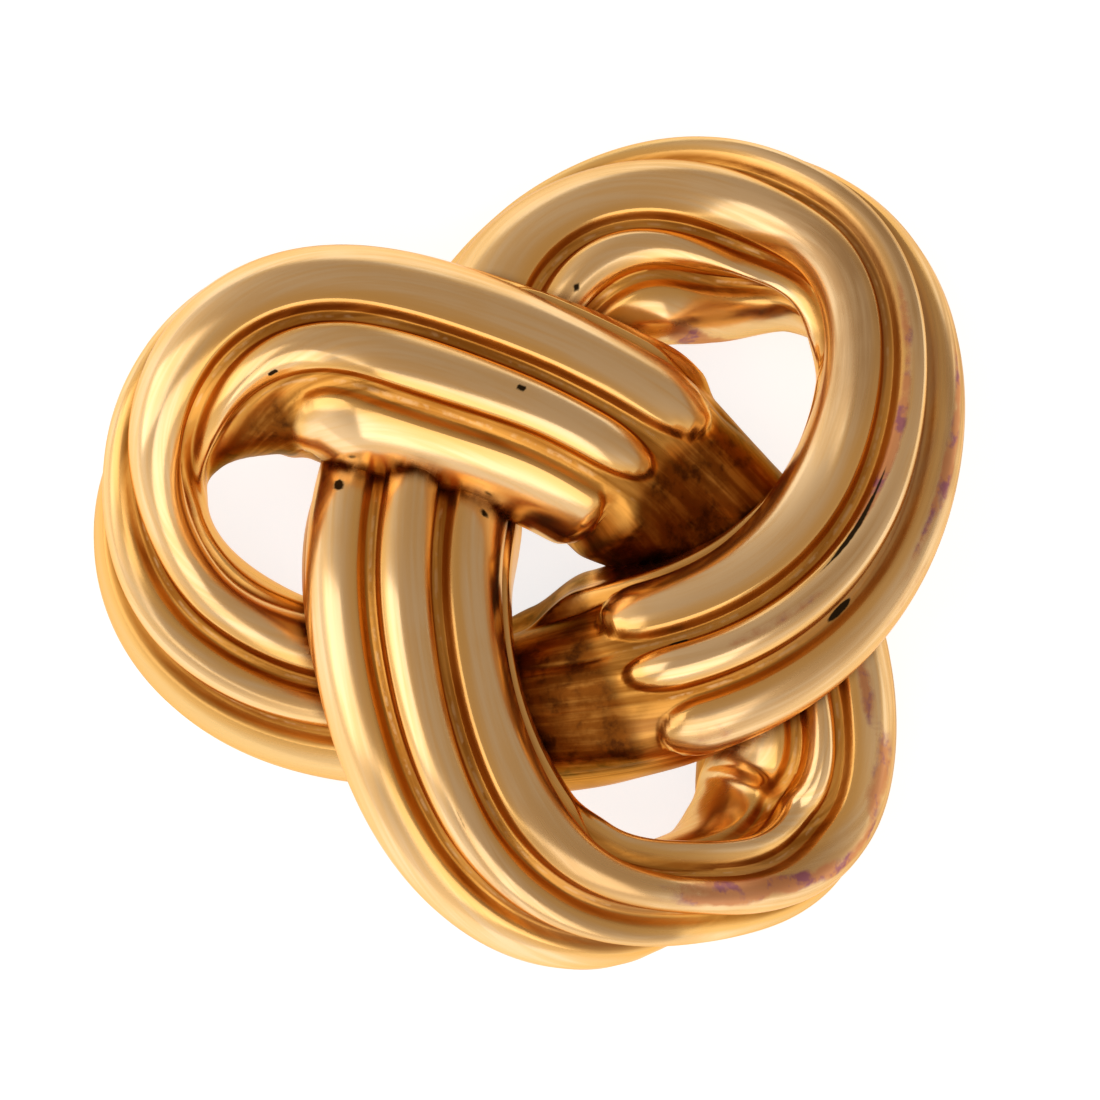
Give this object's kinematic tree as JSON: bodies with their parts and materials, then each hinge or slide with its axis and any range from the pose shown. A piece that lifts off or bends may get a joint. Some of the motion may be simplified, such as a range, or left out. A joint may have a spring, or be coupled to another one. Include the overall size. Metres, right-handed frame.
{
  "type": "knot brooch",
  "caption": "Gold brooch shaped as a three-lobed knot of one ribbed strand, hollow behind, with a plain pin fitting set into its flat back.",
  "frame": {"origin": "under the middle of the outline, on the flat back", "axes": "+Z out of the front, +Y towards the upper lobe, +X to the right when looking at the front"},
  "size_m": [0.0348, 0.035, 0.0101],
  "materials": {
    "polished_gold": "polished",
    "plain_gold": "satin"
  },
  "bodies": {
    "root": {"knot": "polished_gold", "pin_fitting": "plain_gold"}
  },
  "joints": []
}
